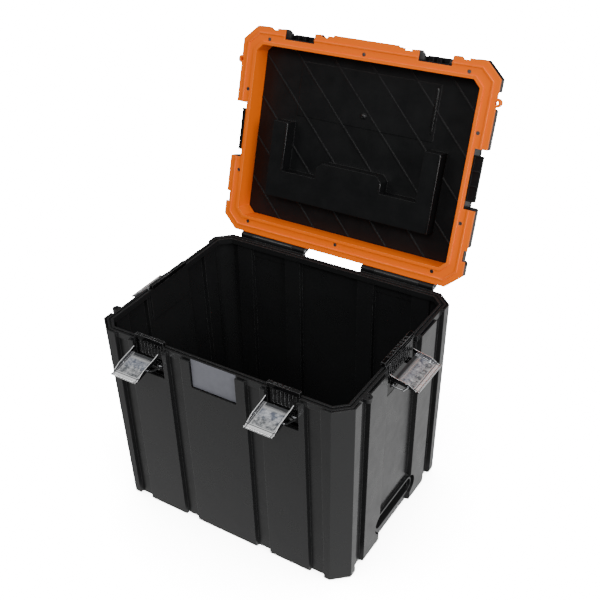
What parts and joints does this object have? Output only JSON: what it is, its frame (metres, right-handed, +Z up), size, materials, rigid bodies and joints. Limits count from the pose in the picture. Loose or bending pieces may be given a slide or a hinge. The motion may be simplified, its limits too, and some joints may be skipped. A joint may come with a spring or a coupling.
{
  "type": "stackable tool case",
  "caption": "Deep stackable tool case, black corrugated bin, orange lid ring, bright draw latches, folding carry handle, drawn open.",
  "frame": {"origin": "on the floor, under the middle of the outline of the open case", "axes": "+X to the right along the width, +Y to the back where the hinges are, +Z up"},
  "size_m": [0.6487, 0.6662, 0.8346],
  "materials": {
    "black_plastic": "fine moulded grain, satin",
    "orange_plastic": "fine moulded grain, satin",
    "bright_zinc": "bright zinc plate",
    "pin_steel": "drawn steel",
    "screw_steel": "passivated steel",
    "label_card": "smooth pale lilac grey"
  },
  "bodies": {
    "bin": {"bin_shell": "black_plastic", "label_plate": "label_card", "hinge_pin_left": "pin_steel", "hinge_pin_right": "pin_steel", "housing_front_left": "black_plastic", "housing_front_right": "black_plastic", "housing_left": "black_plastic", "housing_right": "black_plastic", "housing_screws": "screw_steel"},
    "lid": {"lid_shell": "black_plastic", "lid_ring": "orange_plastic", "ring_screws": "screw_steel", "handle_pin_left": "pin_steel", "handle_pin_right": "pin_steel"},
    "handle": {"carry_handle": "black_plastic"},
    "link_front_left": {"link_front_left": "bright_zinc"},
    "lever_front_left": {"lever_front_left": "bright_zinc"},
    "link_front_right": {"link_front_right": "bright_zinc"},
    "lever_front_right": {"lever_front_right": "bright_zinc"},
    "link_left": {"link_left": "bright_zinc"},
    "lever_left": {"lever_left": "bright_zinc"},
    "link_right": {"link_right": "bright_zinc"},
    "lever_right": {"lever_right": "bright_zinc"}
  },
  "joints": [
    {"name": "lid_hinge", "type": "hinge", "parent": "bin", "child": "lid", "pos_m": [0, 0.17156, 0.4173], "axis": [1, 0, 0], "range_deg": [0, 107.2]},
    {"name": "handle_hinge", "type": "hinge", "parent": "lid", "child": "handle", "pos_m": [0, 0.27139, 0.63261], "axis": [1, 0, 0], "range_deg": [0, 90]},
    {"name": "link_pivot_front_left", "type": "hinge", "parent": "bin", "child": "link_front_left", "pos_m": [-0.146, -0.25814, 0.374], "axis": [-1, 0, 0], "range_deg": [0, 67.45]},
    {"name": "lever_pivot_front_left", "type": "hinge", "parent": "link_front_left", "child": "lever_front_left", "pos_m": [-0.146, -0.29905, 0.39153], "axis": [1, 0, 0], "range_deg": [0, 145.44]},
    {"name": "link_pivot_front_right", "type": "hinge", "parent": "bin", "child": "link_front_right", "pos_m": [0.146, -0.25814, 0.374], "axis": [-1, 0, 0], "range_deg": [0, 67.45]},
    {"name": "lever_pivot_front_right", "type": "hinge", "parent": "link_front_right", "child": "lever_front_right", "pos_m": [0.146, -0.29905, 0.39153], "axis": [1, 0, 0], "range_deg": [0, 145.44]},
    {"name": "link_pivot_left", "type": "hinge", "parent": "bin", "child": "link_left", "pos_m": [-0.273, -0.04864, 0.374], "axis": [0, 1, 0], "range_deg": [0, 76.62]},
    {"name": "lever_pivot_left", "type": "hinge", "parent": "link_left", "child": "lever_left", "pos_m": [-0.30353, -0.04864, 0.38178], "axis": [0, -1, 0], "range_deg": [0, 146.61]},
    {"name": "link_pivot_right", "type": "hinge", "parent": "bin", "child": "link_right", "pos_m": [0.273, -0.04864, 0.374], "axis": [0, -1, 0], "range_deg": [0, 76.62]},
    {"name": "lever_pivot_right", "type": "hinge", "parent": "link_right", "child": "lever_right", "pos_m": [0.30353, -0.04864, 0.38178], "axis": [0, 1, 0], "range_deg": [0, 154.61]}
  ],
  "couplings": [
    {"joint": "link_pivot_front_left", "follows": "lever_pivot_front_left", "ratio": 0.46371},
    {"joint": "link_pivot_front_right", "follows": "lever_pivot_front_right", "ratio": 0.46371},
    {"joint": "link_pivot_left", "follows": "lever_pivot_left", "ratio": 0.52254},
    {"joint": "link_pivot_right", "follows": "lever_pivot_right", "ratio": 0.4955}
  ]
}
